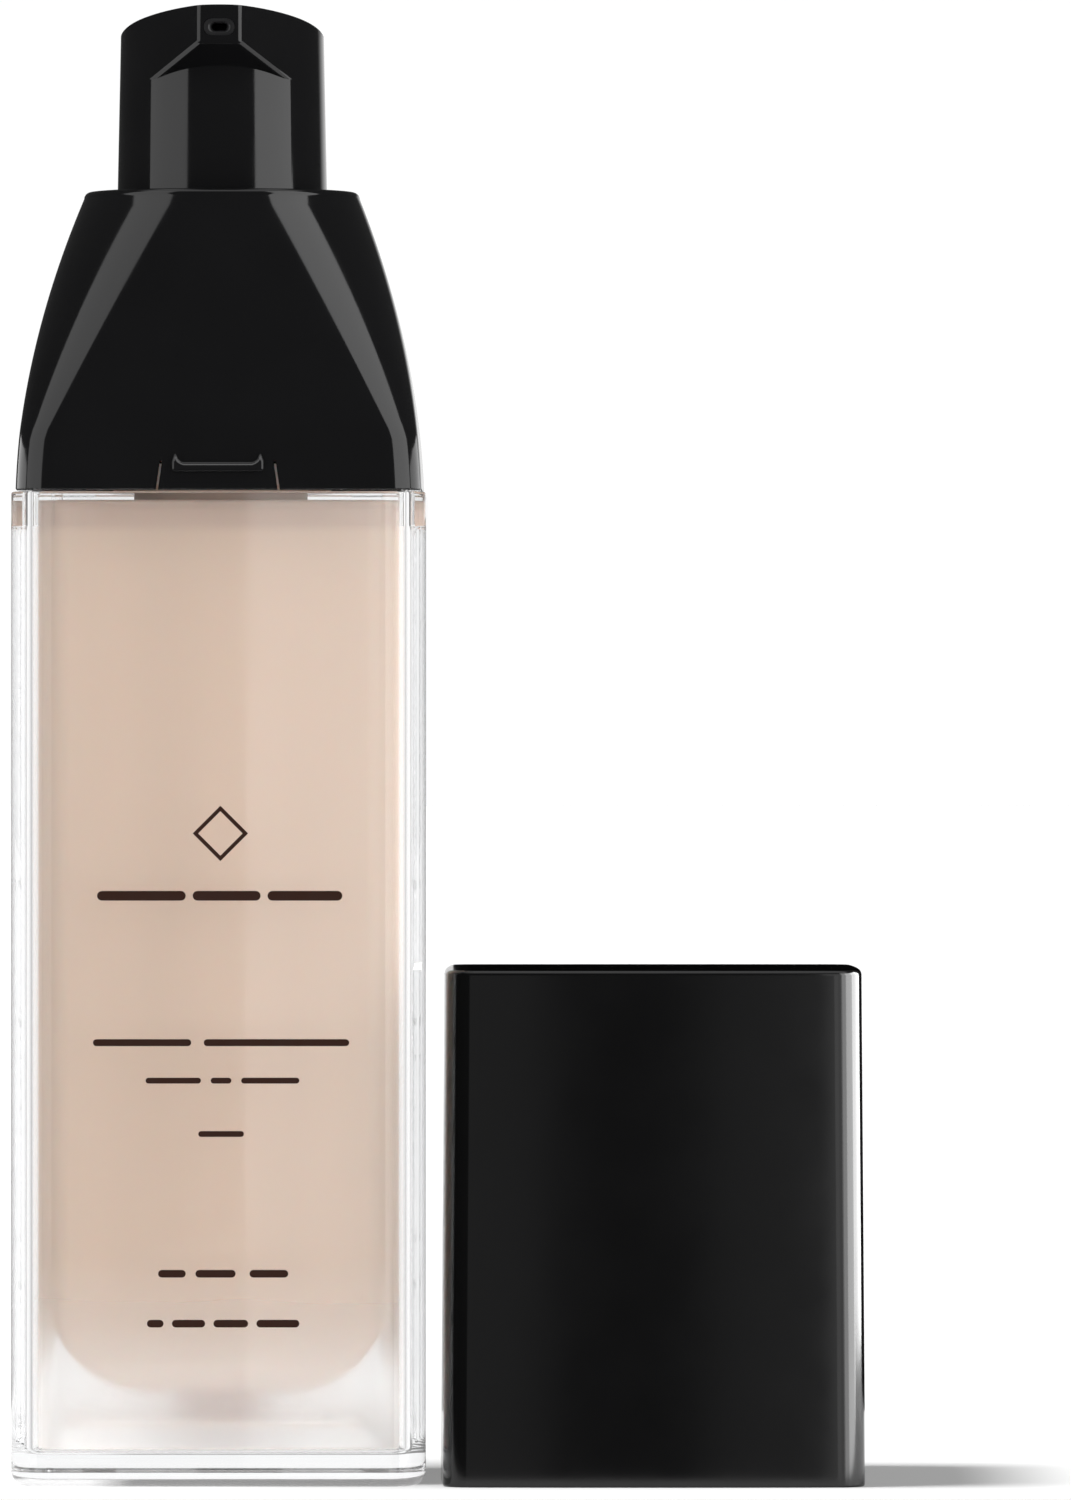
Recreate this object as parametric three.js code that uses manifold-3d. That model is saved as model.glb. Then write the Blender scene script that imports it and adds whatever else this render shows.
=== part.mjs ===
// Square pump bottle for liquid foundation: a clear outer shell around an inner bottle, a lotion pump
// under a tapered collar, a turning and pressing head, and the square overcap standing beside it.
// Millimetres, +Z up. The origin is the centre of the bottle's base, and the spout points to -Y.
import * as THREE from "three";
import { mergeVertices } from "three/addons/utils/BufferGeometryUtils.js";
import Module from "manifold-3d";

const wasm = await Module();
wasm.setup();

// Driving dimensions.
const SHELL_SIDE = 30; // width and depth of the outer shell
const SHELL_TOP = 71.9; // height of the shell's rim
const SHELL_WALL = 1.5;
const SHELL_FLOOR = 2.3;
const SHELL_CORNER = 2.8; // radius of the upright edges
const SHELL_FOOT = 1.1; // radius round the base
const GAP = 0.3; // air gap between shell and inner bottle, and between stacked covers
const INNER_WALL = 0.75;
const CAVITY_FLOOR = 6.4;
const CAVITY_TOP = 71.3;
const CAVITY_ROUND = 8; // radius at the bottom of the cavity
const CAVITY_CORNER = 1.8;
const SUMP = { outer: 3.9, bore: 3.15, floor: 3.4 }; // well in the cavity's floor for the dip tube
const RECESS_DEPTH = 2; // hollow ring round the sump, under the inner bottle
const LUG = { wide: 2.4, tall: 2.4, deep: 1.1, from_centre: 10.6 };
const NECK = { outer: 8, bore: 6.3, bead: 8.5, top: 81.7 };
const FILL_TOP = 77; // level of the liquid, in the neck

const COLLAR_BASE = 72;
const COLLAR_HEIGHT = 22;
const COLLAR_HALF = 14.7; // half width at its base
const COLLAR_WALL = 1.2;
const COLLAR_SKIRT = 4.05; // height of the straight-cornered skirt
const COLLAR_MOUTH = 7.95; // radius of the hole round the head
const TONGUE = { half_top: 4.02, half_base: 4.32, tall: 2.1, slit: 0.16 };
const RIDGE = { half: 3.34, low: 1.28, high: 2.05, tip: 2.8, proud: 0.25 };

const HEAD_FOOT = 88.9; // lower end of the head's skirt
const HEAD_SIDE_TOP = 105.2; // where the arch springs from the sides
const HEAD_ARCH = 2.1; // height of the arch
const HEAD_RADIUS_LOW = 7.78;
const HEAD_RADIUS_HIGH = 7.44;
const HEAD_SKIRT_BORE = 6.7;
const SPOUT = { half: 1.48, reach: 10.05, low: 104.5, slope: 0.58 };
const ORIFICE = { z: 105.67, half_wide: 0.855, half_tall: 0.415, rim_x: 0.265, rim_z: 0.178, long: 1.9 };

// Heights up the pump, from the foot of the dip tube to the nose of the head's core.
const DIP_FOOT = 4.4;
const TAIL_FOOT = 52.9;
const SEAT_Z = 57; // throat under the inlet ball
const LEDGE_Z = 61; // ledge that the ball cage sits on
const STEM_FOOT = 72.1;
const PISTON_LOW = 73;
const GUIDE_LOW = 78.5;
const FLANGE_Z = NECK.top + 0.9; // underside of the housing's flange
const FLANGE_TOP = FLANGE_Z + 0.8;
const GUIDE_TOP = 87.6;
const STEM_TOP = 100.9;
const CORE_SHOULDER = 100.2;
const CORE_PLUG_TOP = 102.2;
const CORE_NOSE_TOP = 103.6;

const STEM_RADIUS = 1.8;
const STEM_BORE = 0.9;
const PUMP_BORE = 3.4;
const PUMP_OUTER = 4.2;
const TAIL_RADIUS = 2.5;
const DIP_RADIUS = 1.6;
const RUNNING = 0.06; // radial clearance of a sliding fit
const FIT = 0.1; // clearance of a seated fit
const SEAT_SLACK = 0.15; // clearance round the nozzle insert, as a share of its rim

const CAP = { x: 31.5, half: 15.25, draft: 0.27, tall: 37.3, wall: 0.5, roof: 0.8, corner: 1.4, bulge: 0.25 };

const FINE = 40; // segments round a part that shows
const COARSE = 20; // segments round a part inside

const CLEAR = { color: 0xf4f6f7, roughness: 0.05, metalness: 0, transparent: true, opacity: 0.3 };
const BLACK = { color: 0x0b0b0c, roughness: 0.12, metalness: 0 };
const NATURAL = { color: 0xe9e9e4, roughness: 0.4, metalness: 0 };
const RUBBER = { color: 0xc9c7c2, roughness: 0.8, metalness: 0 };
const STEEL = { color: 0xb9bcc0, roughness: 0.25, metalness: 1 };
const LIQUID = { color: 0xd9bda9, roughness: 0.45, metalness: 0 };

// A closed three.js geometry as a solid that can be cut and joined.
function solid(geometry) {
  const bare = geometry.clone();
  bare.deleteAttribute("normal");
  bare.deleteAttribute("uv");
  const merged = mergeVertices(bare, 1e-4);
  return new wasm.Manifold(
    new wasm.Mesh({
      numProp: 3,
      vertProperties: new Float32Array(merged.attributes.position.array),
      triVerts: new Uint32Array(merged.index.array),
    }),
  );
}

function union(solids) {
  return solids.reduce((sum, next) => sum.add(next));
}

// A named mesh from a finished solid.
function part(name, body, look) {
  const mesh = body.getMesh();
  const geometry = new THREE.BufferGeometry();
  geometry.setAttribute("position", new THREE.BufferAttribute(mesh.vertProperties, 3));
  geometry.setIndex(new THREE.BufferAttribute(mesh.triVerts, 1));
  geometry.computeVertexNormals();
  const made = new THREE.Mesh(geometry, new THREE.MeshStandardMaterial(look));
  made.name = name;
  return made;
}

// A turned part: the outline is [radius, z] points, counter-clockwise with z up the page.
// An outline that does not start on the axis closes on itself.
function turned(outline, segments = COARSE) {
  const points = outline.map(([r, z]) => new THREE.Vector2(r, z));
  if (outline[0][0] > 0) points.push(points[0].clone());
  return solid(new THREE.LatheGeometry(points, segments).rotateX(Math.PI / 2));
}

function tube(outer, bore, low, high, segments = COARSE) {
  return turned([[bore, low], [outer, low], [outer, high], [bore, high]], segments);
}

function rod(radius, low, high, segments = COARSE) {
  return turned([[0, low], [radius, low], [radius, high], [0, high]], segments);
}

function box(wide, deep, tall, x, y, z) {
  return solid(new THREE.BoxGeometry(wide, deep, tall).translate(x, y, z));
}

// The points of a square with rounded corners and, where bulge is set, slightly bowed sides.
function squareRing(half, corner, bulge, arcSteps, sideSteps) {
  const ring = [];
  const straight = half - corner;
  for (let side = 0; side < 4; side++) {
    const turn = (side * Math.PI) / 2;
    for (let i = 1; i < sideSteps; i++) {
      const along = straight * ((2 * i) / sideSteps - 1);
      const out = half + bulge * (1 - (along / straight) ** 2);
      ring.push(new THREE.Vector2(out, along).rotateAround(new THREE.Vector2(), turn));
    }
    for (let i = 0; i <= arcSteps; i++) {
      const angle = (i / arcSteps) * (Math.PI / 2);
      const x = straight + corner * Math.cos(angle);
      const y = straight + corner * Math.sin(angle);
      ring.push(new THREE.Vector2(x, y).rotateAround(new THREE.Vector2(), turn));
    }
  }
  return ring;
}

// A solid through square rings stacked up Z. Each level is { z, half, corner, bulge }.
function lofted(levels, arcSteps = 5, sideSteps = 1) {
  const rings = levels.map((l) => squareRing(l.half, l.corner, l.bulge ?? 0, arcSteps, sideSteps));
  const count = rings[0].length;
  const places = rings.flatMap((ring, k) => ring.flatMap((p) => [p.x, p.y, levels[k].z]));
  const faces = [];
  for (let k = 0; k + 1 < rings.length; k++) {
    for (let i = 0; i < count; i++) {
      const a = k * count + i;
      const b = k * count + ((i + 1) % count);
      faces.push(a, b, b + count, a, b + count, a + count);
    }
  }
  const last = (rings.length - 1) * count;
  for (const [a, b, c] of THREE.ShapeUtils.triangulateShape(rings[0], [])) faces.push(c, b, a);
  for (const [a, b, c] of THREE.ShapeUtils.triangulateShape(rings[rings.length - 1], [])) {
    faces.push(a + last, b + last, c + last);
  }
  const geometry = new THREE.BufferGeometry();
  geometry.setAttribute("position", new THREE.Float32BufferAttribute(places, 3));
  geometry.setIndex(faces);
  return solid(geometry);
}

// Levels that round off the bottom edge of a loft of half width `half`.
function roundedFoot(z, half, corner, radius, steps) {
  const levels = [];
  for (let i = 0; i <= steps; i++) {
    const angle = (i / steps) * (Math.PI / 2);
    const inset = radius * (1 - Math.sin(angle));
    levels.push({
      z: z + radius * (1 - Math.cos(angle)),
      half: half - inset,
      corner: Math.max(corner - inset, 0.6),
    });
  }
  return levels;
}

const shellHalf = SHELL_SIDE / 2;
const innerHalf = shellHalf - SHELL_WALL - GAP;
const cavityHalf = innerHalf - INNER_WALL;
const innerFoot = SHELL_FLOOR + GAP;

// The lugs that key the inner bottle into notches in the shell's rim, two on each side.
function lugs(clearance) {
  const blocks = [];
  const reach = LUG.deep + GAP + clearance;
  const tall = LUG.tall + clearance;
  for (let side = 0; side < 4; side++) {
    for (const along of [-LUG.from_centre, LUG.from_centre]) {
      const block = new THREE.BoxGeometry(reach + 1, LUG.wide + 2 * clearance, tall);
      block.translate(innerHalf - 1 + (reach + 1) / 2, along, SHELL_TOP - tall / 2);
      block.rotateZ((side * Math.PI) / 2);
      blocks.push(solid(block));
    }
  }
  return union(blocks);
}

function outerShell() {
  const levels = roundedFoot(0, shellHalf, SHELL_CORNER, SHELL_FOOT, 4);
  levels.push({ z: SHELL_TOP, half: shellHalf, corner: SHELL_CORNER });
  const bore = shellHalf - SHELL_WALL;
  const hollow = lofted([
    { z: SHELL_FLOOR, half: bore, corner: SHELL_CORNER - SHELL_WALL },
    { z: SHELL_TOP + 1, half: bore, corner: SHELL_CORNER - SHELL_WALL },
  ]);
  return part("outer_shell", lofted(levels).subtract(hollow).subtract(lugs(FIT)), CLEAR);
}

function innerBottle() {
  const body = lofted([
    { z: innerFoot, half: innerHalf, corner: CAVITY_CORNER },
    { z: SHELL_TOP, half: innerHalf, corner: CAVITY_CORNER },
  ]);
  const cavity = lofted([
    ...roundedFoot(CAVITY_FLOOR, cavityHalf, CAVITY_CORNER, CAVITY_ROUND, 5),
    { z: CAVITY_TOP, half: cavityHalf, corner: CAVITY_CORNER },
  ]);
  const neck = turned(
    [
      [0, SHELL_TOP - 1],
      [NECK.outer, SHELL_TOP - 1],
      [NECK.outer, NECK.top - 2.8],
      [NECK.bead, NECK.top - 2.3],
      [NECK.bead, NECK.top - 1.9],
      [NECK.outer, NECK.top - 1.1],
      [NECK.outer, NECK.top],
      [0, NECK.top],
    ],
    FINE,
  );
  const recess = lofted([
    { z: innerFoot - 1, half: innerHalf - SHELL_WALL, corner: CAVITY_CORNER },
    { z: innerFoot + RECESS_DEPTH, half: innerHalf - SHELL_WALL, corner: CAVITY_CORNER },
  ]).subtract(rod(SUMP.outer, 0, CAVITY_FLOOR, FINE));
  const sump = rod(SUMP.bore, SUMP.floor, CAVITY_FLOOR + 1, FINE);
  const open = rod(NECK.bore, CAVITY_TOP - 1, NECK.top + 1, FINE);
  const hollows = union([cavity, recess, sump, open]);
  return part("inner_bottle", union([body, neck, lugs(0)]).subtract(hollows), CLEAR);
}

// The liquid fills the sump, the cavity and the foot of the neck, round the housing and the dip tube.
function foundationFill() {
  const half = cavityHalf - FIT;
  const block = lofted([
    ...roundedFoot(CAVITY_FLOOR + FIT, half, CAVITY_CORNER, CAVITY_ROUND, 5),
    { z: CAVITY_TOP - FIT, half, corner: CAVITY_CORNER },
  ]);
  const inSump = rod(SUMP.bore - FIT, SUMP.floor + FIT, CAVITY_FLOOR + 1);
  const inNeck = rod(NECK.bore - FIT, CAVITY_TOP - 1, FILL_TOP);
  const way = turned([
    [0, DIP_FOOT - FIT],
    [DIP_RADIUS + FIT, DIP_FOOT - FIT],
    [DIP_RADIUS + FIT, TAIL_FOOT - FIT],
    [TAIL_RADIUS + FIT, TAIL_FOOT - FIT],
    [TAIL_RADIUS + FIT, SEAT_Z - FIT],
    [PUMP_OUTER + FIT, SEAT_Z - FIT],
    [PUMP_OUTER + FIT, FILL_TOP + 1],
    [0, FILL_TOP + 1],
  ]);
  return part("foundation_fill", union([block, inSump, inNeck]).subtract(way), LIQUID);
}

// Half width and corner radius of the collar's outside at a height above its base.
function collarHalf(height) {
  return COLLAR_HALF - 0.0309 * height - 0.008529 * height ** 2;
}

function collarCorner(height) {
  const above = Math.max(height - COLLAR_SKIRT, 0);
  return 2.77 + 0.55 * above - 0.01144 * above ** 2;
}

function collarLoft(inset, low, high, steps, roundTop) {
  const levels = [];
  for (let i = 0; i <= steps; i++) {
    const height = low + ((high - low) * i) / steps;
    levels.push({
      z: COLLAR_BASE + height,
      half: collarHalf(height) - inset,
      corner: collarCorner(height) - inset,
    });
  }
  if (roundTop) {
    const top = levels[levels.length - 1];
    for (const angle of [Math.PI / 6, Math.PI / 3, Math.PI / 2]) {
      const pulled = roundTop * (1 - Math.cos(angle));
      const z = top.z + roundTop * Math.sin(angle);
      levels.push({ z, half: top.half - pulled, corner: top.corner - pulled });
    }
  }
  return lofted(levels, 6);
}

// The spring tongue is freed by a slit on each side and carries the ridge that the cap clicks over.
function tongueSlit(side) {
  const outline = new THREE.Shape([
    new THREE.Vector2(side * TONGUE.half_base, -1),
    new THREE.Vector2(side * (TONGUE.half_base + TONGUE.slit), -1),
    new THREE.Vector2(side * (TONGUE.half_top + TONGUE.slit), TONGUE.tall),
    new THREE.Vector2(side * TONGUE.half_top, TONGUE.tall),
  ]);
  return solid(new THREE.ExtrudeGeometry(outline, { depth: 3 * COLLAR_WALL, bevelEnabled: false }));
}

function tongueRidge() {
  const flick = RIDGE.half - 0.6;
  const outline = new THREE.Shape([
    new THREE.Vector2(-RIDGE.half, RIDGE.low),
    new THREE.Vector2(RIDGE.half, RIDGE.low),
    new THREE.Vector2(RIDGE.half, RIDGE.high),
    new THREE.Vector2(flick + 0.35, RIDGE.tip),
    new THREE.Vector2(flick, RIDGE.high),
    new THREE.Vector2(-flick, RIDGE.high),
    new THREE.Vector2(-flick - 0.35, RIDGE.tip),
    new THREE.Vector2(-RIDGE.half, RIDGE.high),
  ]);
  const depth = RIDGE.proud + COLLAR_WALL / 2;
  return solid(new THREE.ExtrudeGeometry(outline, { depth, bevelEnabled: false }));
}

// Stands an XY outline solid up on the collar's front face, or its back face when back is true.
function onCollarFace(body, behind, back) {
  const upright = body.rotate([90, 0, 0]).translate([0, behind - collarHalf(RIDGE.low), COLLAR_BASE]);
  return back ? upright.rotate([0, 0, 180]) : upright;
}

function collarCover() {
  const roundTop = 0.5;
  const outer = collarLoft(0, 0, COLLAR_HEIGHT - roundTop, 8, roundTop);
  const inner = collarLoft(COLLAR_WALL, -1, COLLAR_HEIGHT - COLLAR_WALL, 6, 0);
  const gripRing = tube(10.5, 9.75, COLLAR_BASE + 2, COLLAR_BASE + COLLAR_HEIGHT - 1, FINE);
  const mouth = rod(COLLAR_MOUTH, COLLAR_BASE + 1, COLLAR_BASE + COLLAR_HEIGHT + 1, FINE);
  let body = outer.subtract(inner).add(gripRing.intersect(outer)).subtract(mouth);
  for (const back of [false, true]) {
    body = body.add(onCollarFace(tongueRidge(), COLLAR_WALL / 2, back));
    for (const side of [-1, 1]) {
      body = body.subtract(onCollarFace(tongueSlit(side), 2 * COLLAR_WALL, back));
    }
  }
  return part("collar_cover", body, BLACK);
}

function pumpClosure() {
  const top = FLANGE_TOP + FIT + 1;
  const outline = [
    [8.75, COLLAR_BASE + 0.5],
    [9.6, COLLAR_BASE + 0.5],
    [9.6, top - 0.4],
    [9.2, top],
    [6.4, top],
    [6.4, top - 1],
    [8.75, top - 1],
    [8.75, 78.4],
    [8.2, 78],
    [8.2, 77.6],
    [8.75, 77],
  ];
  return part("pump_closure", turned(outline, FINE), NATURAL);
}

function neckGasket() {
  return part("neck_gasket", tube(7.6, 6.5, NECK.top + FIT, FLANGE_Z - FIT, FINE), RUBBER);
}

function pumpHousing() {
  const outline = [
    [DIP_RADIUS + RUNNING, TAIL_FOOT],
    [TAIL_RADIUS, TAIL_FOOT],
    [TAIL_RADIUS, SEAT_Z],
    [PUMP_OUTER, SEAT_Z + 1.2],
    [PUMP_OUTER, NECK.top - 1.3],
    [NECK.bore - FIT, NECK.top - 0.9],
    [NECK.bore - FIT, FLANGE_Z],
    [7.7, FLANGE_Z],
    [7.7, FLANGE_TOP],
    [6, FLANGE_TOP],
    [6, FLANGE_Z - FIT],
    [PUMP_BORE, FLANGE_Z - FIT],
    [PUMP_BORE, LEDGE_Z],
    [2, LEDGE_Z],
    [2, SEAT_Z + 1.2],
    [0.8, SEAT_Z],
    [0.8, SEAT_Z - 0.4],
    [DIP_RADIUS + RUNNING, SEAT_Z - 0.4],
  ];
  return part("pump_housing", turned(outline), NATURAL);
}

function stemGuide() {
  const outline = [
    [2.9, GUIDE_LOW],
    [PUMP_BORE - FIT, GUIDE_LOW],
    [PUMP_BORE - FIT, FLANGE_Z],
    [5.9, FLANGE_Z],
    [5.9, FLANGE_TOP + 1],
    [4.2, FLANGE_TOP + 1.5],
    [4.2, GUIDE_TOP - 0.4],
    [3.8, GUIDE_TOP],
    [STEM_RADIUS + FIT, GUIDE_TOP],
    [STEM_RADIUS + FIT, GUIDE_LOW + 1.5],
    [2.9, GUIDE_LOW + 1.5],
  ];
  return part("stem_guide", turned(outline), NATURAL);
}

function stemSeal() {
  const low = GUIDE_LOW + FIT;
  return part("stem_seal", tube(2.8, STEM_RADIUS + RUNNING, low, low + 1.3), RUBBER);
}

function dipTube() {
  return part("dip_tube", tube(DIP_RADIUS, 1.1, DIP_FOOT, SEAT_Z - 0.6), NATURAL);
}

function inletBall() {
  const radius = 1.3;
  const apex = SEAT_Z - 0.8;
  const lift = radius * Math.SQRT2 + RUNNING;
  const ball = new THREE.SphereGeometry(radius, 18, 12).translate(0, 0, apex + lift);
  return part("inlet_ball", solid(ball), STEEL);
}

// A pierced disc on the housing's ledge: it stops the ball below it and carries the spring above.
function ballCage() {
  const low = LEDGE_Z + FIT;
  let disc = rod(PUMP_BORE - FIT, low, low + 0.7).add(rod(0.6, low - 0.7, low + 0.1));
  for (let i = 0; i < 4; i++) {
    const angle = (i * Math.PI) / 2;
    const hole = rod(0.55, low - 1, low + 2, 12);
    disc = disc.subtract(hole.translate([1.4 * Math.cos(angle), 1.4 * Math.sin(angle), 0]));
  }
  return part("ball_cage", disc, NATURAL);
}

function returnSpring() {
  const wire = 0.25;
  const radius = 2.4;
  const turns = 7;
  const low = LEDGE_Z + 1 + wire;
  const high = STEM_FOOT - 0.2 - wire;
  const steps = turns * 12;
  const points = [];
  for (let i = 0; i <= steps; i++) {
    const angle = (2 * Math.PI * turns * i) / steps;
    const z = low + ((high - low) * i) / steps;
    points.push(new THREE.Vector3(radius * Math.cos(angle), radius * Math.sin(angle), z));
  }
  const section = new THREE.Shape();
  section.absarc(0, 0, wire, 0, 2 * Math.PI);
  const coil = new THREE.ExtrudeGeometry(section, {
    curveSegments: 3,
    steps,
    extrudePath: new THREE.CatmullRomCurve3(points),
  });
  return part("return_spring", solid(coil), STEEL);
}

function pumpStem() {
  const body = turned([
    [0, STEM_FOOT - 1.6],
    [1.7, STEM_FOOT - 1.6],
    [1.7, STEM_FOOT],
    [2.7, STEM_FOOT],
    [2.7, PISTON_LOW - FIT],
    [STEM_RADIUS, PISTON_LOW - FIT],
    [STEM_RADIUS, PISTON_LOW + 4.4],
    [2.6, PISTON_LOW + 4.4],
    [2.6, PISTON_LOW + 5.2],
    [STEM_RADIUS, PISTON_LOW + 5.2],
    [STEM_RADIUS, STEM_TOP],
    [STEM_BORE, STEM_TOP],
    [STEM_BORE, PISTON_LOW + 0.7],
    [0, PISTON_LOW + 0.7],
  ]);
  const port = rod(0.4, -3, 3, 12).rotate([0, 90, 0]).translate([0, 0, PISTON_LOW + 1.4]);
  return part("pump_stem", body.subtract(port), NATURAL);
}

function pumpPiston() {
  const lip = PUMP_BORE - 0.05;
  const outline = [
    [STEM_RADIUS + RUNNING, PISTON_LOW],
    [2.9, PISTON_LOW],
    [lip, PISTON_LOW + 0.4],
    [lip, PISTON_LOW + 1],
    [2.9, PISTON_LOW + 1.4],
    [2.9, PISTON_LOW + 2.2],
    [lip, PISTON_LOW + 2.6],
    [lip, PISTON_LOW + 3.1],
    [3, PISTON_LOW + 3.4],
    [STEM_RADIUS + RUNNING, PISTON_LOW + 3.4],
  ];
  return part("pump_piston", turned(outline), NATURAL);
}

// The wedge that carries the spout: two flanks, tangent to the head's side, that meet the spout's face.
function spoutWedge() {
  const distance = Math.hypot(SPOUT.half, SPOUT.reach);
  const radius = HEAD_RADIUS_HIGH;
  const angle = Math.atan(SPOUT.half / SPOUT.reach) + Math.acos(radius / distance);
  const touch = new THREE.Vector2(radius * Math.sin(angle), -radius * Math.cos(angle));
  const plan = new THREE.Shape([
    new THREE.Vector2(-SPOUT.half, -SPOUT.reach),
    new THREE.Vector2(SPOUT.half, -SPOUT.reach),
    touch,
    new THREE.Vector2(0, 0),
    new THREE.Vector2(-touch.x, touch.y),
  ]);
  const low = SPOUT.low - SPOUT.slope * SPOUT.reach;
  const block = new THREE.ExtrudeGeometry(plan, { depth: 20, bevelEnabled: false }).translate(0, 0, low);
  const far = 30;
  const under = new THREE.Shape([
    new THREE.Vector2(-SPOUT.reach - 1, SPOUT.low + SPOUT.slope),
    new THREE.Vector2(-SPOUT.reach - 1, low - 1),
    new THREE.Vector2(0, low - 1),
    new THREE.Vector2(0, low),
  ]);
  const cut = new THREE.ExtrudeGeometry(under, { depth: far, bevelEnabled: false });
  cut.rotateX(Math.PI / 2).rotateZ(Math.PI / 2).translate(-far / 2, 0, 0);
  return solid(block).subtract(solid(cut));
}

// An arch across the head, as long as the head is deep, that trims its top.
function headArch() {
  const half = HEAD_RADIUS_HIGH + 0.05;
  const outline = new THREE.Shape();
  outline.moveTo(-10, HEAD_FOOT - 1);
  outline.lineTo(10, HEAD_FOOT - 1);
  outline.lineTo(10, HEAD_SIDE_TOP);
  outline.lineTo(half, HEAD_SIDE_TOP);
  outline.absellipse(0, HEAD_SIDE_TOP, half, HEAD_ARCH, 0, Math.PI);
  outline.lineTo(-10, HEAD_SIDE_TOP);
  const arch = new THREE.ExtrudeGeometry(outline, { depth: 24, bevelEnabled: false, curveSegments: 20 });
  return solid(arch.rotateX(Math.PI / 2).translate(0, 12, 0));
}

// A rounded slot along Y through the spout, `rims` rims wider than the orifice all round.
function orificeSlot(rims, from, to) {
  const outline = new THREE.Shape();
  const halfTall = ORIFICE.half_tall + rims * ORIFICE.rim_z;
  const straight = ORIFICE.half_wide + rims * ORIFICE.rim_x - halfTall;
  outline.absarc(straight, 0, halfTall, -Math.PI / 2, Math.PI / 2);
  outline.absarc(-straight, 0, halfTall, Math.PI / 2, (3 * Math.PI) / 2);
  const depth = to - from;
  const slot = new THREE.ExtrudeGeometry(outline, { depth, bevelEnabled: false, curveSegments: 8 });
  return solid(slot.rotateX(Math.PI / 2).translate(0, to, ORIFICE.z));
}

function actuator() {
  const column = turned(
    [
      [0, HEAD_FOOT],
      [HEAD_RADIUS_LOW, HEAD_FOOT],
      [HEAD_RADIUS_HIGH, HEAD_SIDE_TOP],
      [HEAD_RADIUS_HIGH, HEAD_SIDE_TOP + HEAD_ARCH + 1],
      [0, HEAD_SIDE_TOP + HEAD_ARCH + 1],
    ],
    FINE,
  );
  const scoopRadius = 18;
  const crown = HEAD_SIDE_TOP + HEAD_ARCH;
  const scoop = new THREE.CylinderGeometry(scoopRadius, scoopRadius, 20, 72).rotateZ(Math.PI / 2);
  scoop.translate(0, 0.6, crown + scoopRadius - 0.8);
  const outside = column.add(spoutWedge()).intersect(headArch()).subtract(solid(scoop));
  const hollow = turned([
    [0, HEAD_FOOT - 1],
    [HEAD_SKIRT_BORE, HEAD_FOOT - 1],
    [HEAD_SKIRT_BORE, CORE_SHOULDER],
    [4.35, CORE_SHOULDER],
    [4.35, CORE_PLUG_TOP + FIT],
    [1.85, CORE_PLUG_TOP + FIT],
    [1.85, CORE_NOSE_TOP + FIT],
    [STEM_BORE, CORE_NOSE_TOP + FIT],
    [STEM_BORE, ORIFICE.z],
    [0, ORIFICE.z],
  ]);
  const channel = orificeSlot(0, -SPOUT.reach - 1, STEM_BORE);
  const pocket = orificeSlot(1 + SEAT_SLACK, -SPOUT.reach - 1, ORIFICE.long + FIT - SPOUT.reach);
  return part("actuator", outside.subtract(hollow).subtract(channel).subtract(pocket), BLACK);
}

function actuatorCore() {
  const outline = [
    [STEM_RADIUS + RUNNING, 92.5],
    [2.9, 92.5],
    [2.9, CORE_SHOULDER - 0.8],
    [4.25, CORE_SHOULDER - 0.8],
    [4.25, CORE_PLUG_TOP],
    [1.8, CORE_PLUG_TOP],
    [1.8, CORE_NOSE_TOP],
    [STEM_BORE, CORE_NOSE_TOP],
    [STEM_BORE, STEM_TOP + FIT],
    [STEM_RADIUS + RUNNING, STEM_TOP + FIT],
  ];
  return part("actuator_core", turned(outline), BLACK);
}

function nozzleInsert() {
  const end = ORIFICE.long - SPOUT.reach;
  const rim = orificeSlot(1, -SPOUT.reach, end);
  const hole = orificeSlot(0, -SPOUT.reach - 1, end + 1);
  return part("nozzle_insert", rim.subtract(hole), BLACK);
}

// The cap is made about its own axis, open end down, with a groove inside for each tongue's ridge.
function overcap() {
  const { half, draft, tall, wall, roof, corner, bulge } = CAP;
  const edge = 0.4;
  const topHalf = half - draft;
  const levels = [
    { z: 0, half, corner, bulge },
    { z: tall - edge, half: topHalf, corner, bulge },
  ];
  for (const angle of [Math.PI / 6, Math.PI / 3, Math.PI / 2]) {
    const pulled = edge * (1 - Math.cos(angle));
    levels.push({
      z: tall - edge + edge * Math.sin(angle),
      half: topHalf - pulled,
      corner: corner - pulled / 2,
      bulge,
    });
  }
  const hollow = lofted([
    { z: -1, half: half - wall, corner: corner - wall },
    { z: tall - roof, half: topHalf - wall, corner: corner - wall },
  ]);
  const groove = box(2 * RIDGE.half + 1, 2 * (half - wall + 0.3), 1, 0, 0, (RIDGE.low + RIDGE.high) / 2);
  return part("overcap", lofted(levels, 5, 8).subtract(hollow).subtract(groove), BLACK);
}

function gathered(...members) {
  const group = new THREE.Group();
  group.add(...members);
  return group;
}

const bottle = gathered(outerShell(), innerBottle(), foundationFill());
const pump = gathered(
  pumpClosure(),
  neckGasket(),
  pumpHousing(),
  stemGuide(),
  stemSeal(),
  dipTube(),
  ballCage(),
  inletBall(),
  returnSpring(),
  pumpStem(),
  pumpPiston(),
);
const head = gathered(actuator(), actuatorCore(), nozzleInsert());
const cap = gathered(overcap());
cap.position.x = CAP.x;

const foundationBottle = gathered(bottle, pump, collarCover(), head, cap);
export default foundationBottle;
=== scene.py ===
"""A square pump bottle of liquid foundation with its overcap standing beside it."""

import math
from functools import partial
from types import SimpleNamespace

import bmesh
import bpy
from bpy.props import FloatProperty, FloatVectorProperty, PointerProperty
from mathutils import Matrix, Vector


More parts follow.
